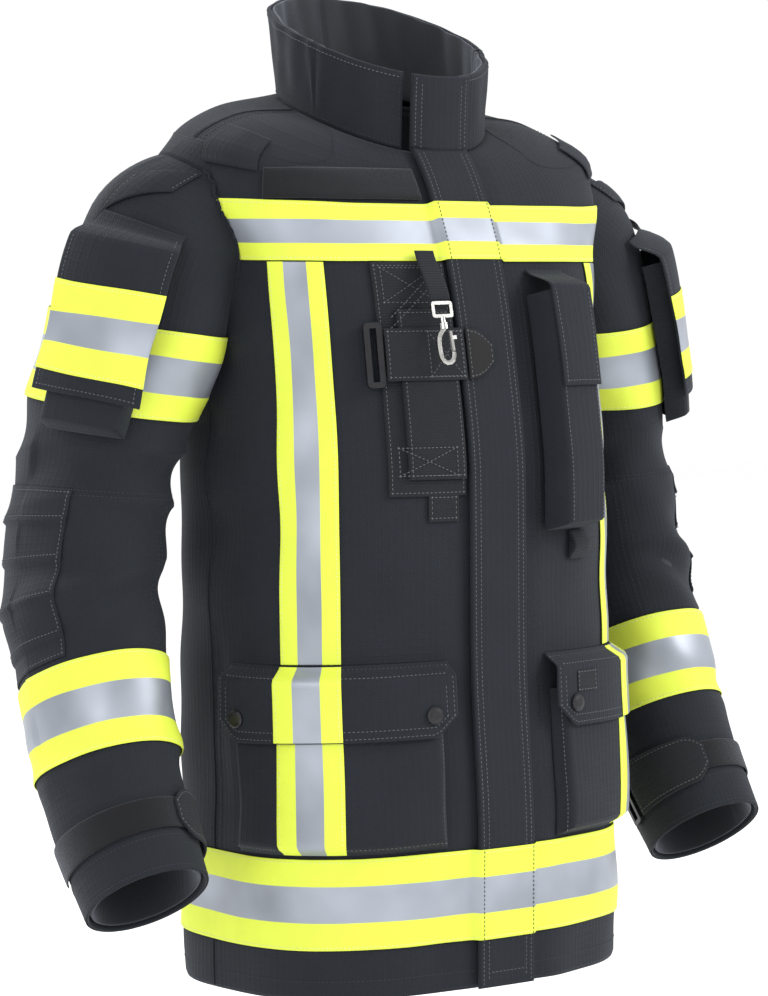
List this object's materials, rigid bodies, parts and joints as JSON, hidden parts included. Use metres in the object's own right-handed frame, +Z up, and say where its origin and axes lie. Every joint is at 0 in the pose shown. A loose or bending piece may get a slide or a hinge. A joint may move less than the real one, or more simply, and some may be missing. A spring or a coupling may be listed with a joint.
{
  "type": "turnout coat",
  "caption": "Hip-length firefighter's coat with stand collar, front closure under a storm flap, reflective trims, flapped pockets and a snap hook holder.",
  "frame": {"origin": "middle of the neck opening, level with the nape end of the collar seam", "axes": "+Z up, -Y towards the front of the coat, +X towards the wearer's left"},
  "size_m": [0.6972, 0.3165, 0.8386],
  "materials": {
    "shell_cloth": "dark navy ripstop outer cloth, matt with a faint sheen",
    "liner_cloth": "dark smooth lining",
    "reflective_trim": "fluorescent yellow trim with a silver reflective middle stripe",
    "webbing": "black woven webbing",
    "hook_loop_tape": "black fuzzy loop tape",
    "leather": "black leather, worn edges",
    "black_metal": "black lacquered metal",
    "nickel": "polished nickel",
    "black_plastic": "black moulded plastic"
  },
  "bodies": {
    "coat_body": {"back_panel": "shell_cloth", "body_liner": "liner_cloth", "chest_trim_back": "reflective_trim", "chest_trim_left": "reflective_trim", "chest_trim_right": "reflective_trim", "collar_liner": "liner_cloth", "collar_shell": "shell_cloth", "front_left_panel": "shell_cloth", "front_right_panel": "shell_cloth", "front_trim_left": "reflective_trim", "front_trim_right": "reflective_trim", "hanger_loop": "webbing", "hem_trim_back": "reflective_trim", "hem_trim_left": "reflective_trim", "hem_trim_right": "reflective_trim", "hip_pocket_left": "shell_cloth", "hip_pocket_right": "shell_cloth", "holder_panel": "webbing", "holder_pouch": "shell_cloth", "holder_ring": "black_plastic", "holder_strap": "webbing", "hook_webbing": "webbing", "name_patch": "hook_loop_tape", "radio_cord_loop": "webbing", "radio_pocket": "shell_cloth", "shoulder_tab_left": "shell_cloth", "shoulder_tab_right": "shell_cloth", "sleeve_pocket_left": "shell_cloth", "sleeve_pocket_right": "shell_cloth", "storm_flap": "shell_cloth", "upper_sleeve_left": "shell_cloth", "upper_sleeve_right": "shell_cloth", "upper_sleeve_trim_left": "reflective_trim", "upper_sleeve_trim_right": "reflective_trim", "zip_tape_left": "webbing", "zip_tape_right": "webbing"},
    "forearm_right": {"forearm_right": "shell_cloth", "lower_sleeve_trim_right": "reflective_trim", "cuff_loop_tape_right": "hook_loop_tape", "cuff_ring_right": "black_plastic"},
    "cuff_strap_right": {"cuff_strap_right": "webbing"},
    "hip_flap_right": {"hip_flap_right": "shell_cloth", "hip_snap_inner_right": "black_metal", "hip_snap_outer_right": "black_metal"},
    "sleeve_flap_right": {"sleeve_flap_right": "shell_cloth"},
    "forearm_left": {"forearm_left": "shell_cloth", "lower_sleeve_trim_left": "reflective_trim", "cuff_loop_tape_left": "hook_loop_tape", "cuff_ring_left": "black_plastic"},
    "cuff_strap_left": {"cuff_strap_left": "webbing"},
    "hip_flap_left": {"hip_flap_left": "shell_cloth", "hip_snap_inner_left": "black_metal", "hip_snap_outer_left": "black_metal"},
    "sleeve_flap_left": {"sleeve_flap_left": "shell_cloth"},
    "radio_flap": {"radio_flap": "shell_cloth"},
    "zip_slider": {"zip_slider": "black_metal"},
    "holder_tab": {"holder_tab": "leather"},
    "hook_eye": {"hook_eye": "nickel"},
    "hook_body": {"hook_body": "nickel"},
    "hook_gate": {"hook_gate": "nickel"}
  },
  "joints": [
    {"name": "elbow_right", "type": "hinge", "parent": "coat_body", "child": "forearm_right", "pos_m": [-0.263, -0.02398, -0.33787], "axis": [-1, 0, 0], "range_deg": [0, 45]},
    {"name": "elbow_left", "type": "hinge", "parent": "coat_body", "child": "forearm_left", "pos_m": [0.263, -0.02398, -0.33787], "axis": [-1, 0, 0], "range_deg": [0, 45]},
    {"name": "hip_flap_right_hinge", "type": "hinge", "parent": "coat_body", "child": "hip_flap_right", "pos_m": [-0.14546, -0.10424, -0.47993], "axis": [-0.7569, 0.6532, -0.0207], "range_deg": [0, 25]},
    {"name": "hip_flap_left_hinge", "type": "hinge", "parent": "coat_body", "child": "hip_flap_left", "pos_m": [0.14546, -0.10424, -0.47993], "axis": [-0.7569, -0.6532, 0.0207], "range_deg": [0, 25]},
    {"name": "radio_flap_hinge", "type": "hinge", "parent": "coat_body", "child": "radio_flap", "pos_m": [0.07633, -0.10666, -0.15871], "axis": [-0.988, -0.1546, -0.0022], "range_deg": [0, 90]},
    {"name": "sleeve_flap_right_hinge", "type": "hinge", "parent": "coat_body", "child": "sleeve_flap_right", "pos_m": [-0.25808, -0.00851, -0.12032], "axis": [-0.6045, 0.7318, 0.3147], "range_deg": [0, 60]},
    {"name": "sleeve_flap_left_hinge", "type": "hinge", "parent": "coat_body", "child": "sleeve_flap_left", "pos_m": [0.25808, -0.00851, -0.12032], "axis": [-0.6045, -0.7318, -0.3147], "range_deg": [0, 60]},
    {"name": "cuff_strap_right_hinge", "type": "hinge", "parent": "forearm_right", "child": "cuff_strap_right", "pos_m": [-0.23257, -0.02281, -0.60655], "axis": [0.0598, 0.3652, 0.929], "range_deg": [0, 50]},
    {"name": "cuff_strap_left_hinge", "type": "hinge", "parent": "forearm_left", "child": "cuff_strap_left", "pos_m": [0.23257, -0.02281, -0.60655], "axis": [0.0598, -0.3652, -0.929], "range_deg": [0, 50]},
    {"name": "zip_slide", "type": "slide", "parent": "coat_body", "child": "zip_slider", "axis": [0, -0.0461, 0.9989], "range_m": [-0.03, 0]},
    {"name": "holder_tab_hinge", "type": "hinge", "parent": "coat_body", "child": "holder_tab", "pos_m": [-0.02541, -0.13839, -0.22705], "axis": [-0.0003, -0.1449, -0.9895], "range_deg": [0, 80]},
    {"name": "hook_eye_swing", "type": "hinge", "parent": "coat_body", "child": "hook_eye", "pos_m": [-0.05404, -0.13908, -0.18577], "axis": [-0.9957, 0.0904, -0.0215], "range_deg": [0, 50]},
    {"name": "hook_swivel", "type": "hinge", "parent": "hook_eye", "child": "hook_body", "pos_m": [-0.05402, -0.14263, -0.20158], "axis": [-0.0011, 0.2191, 0.9757], "range_deg": [-90, 90]},
    {"name": "hook_gate_hinge", "type": "hinge", "parent": "hook_body", "child": "hook_gate", "pos_m": [-0.04863, -0.14472, -0.20858], "axis": [0.0929, 0.9715, -0.2181], "range_deg": [0, 18], "stiffness_Nm_per_rad": 0.02}
  ]
}
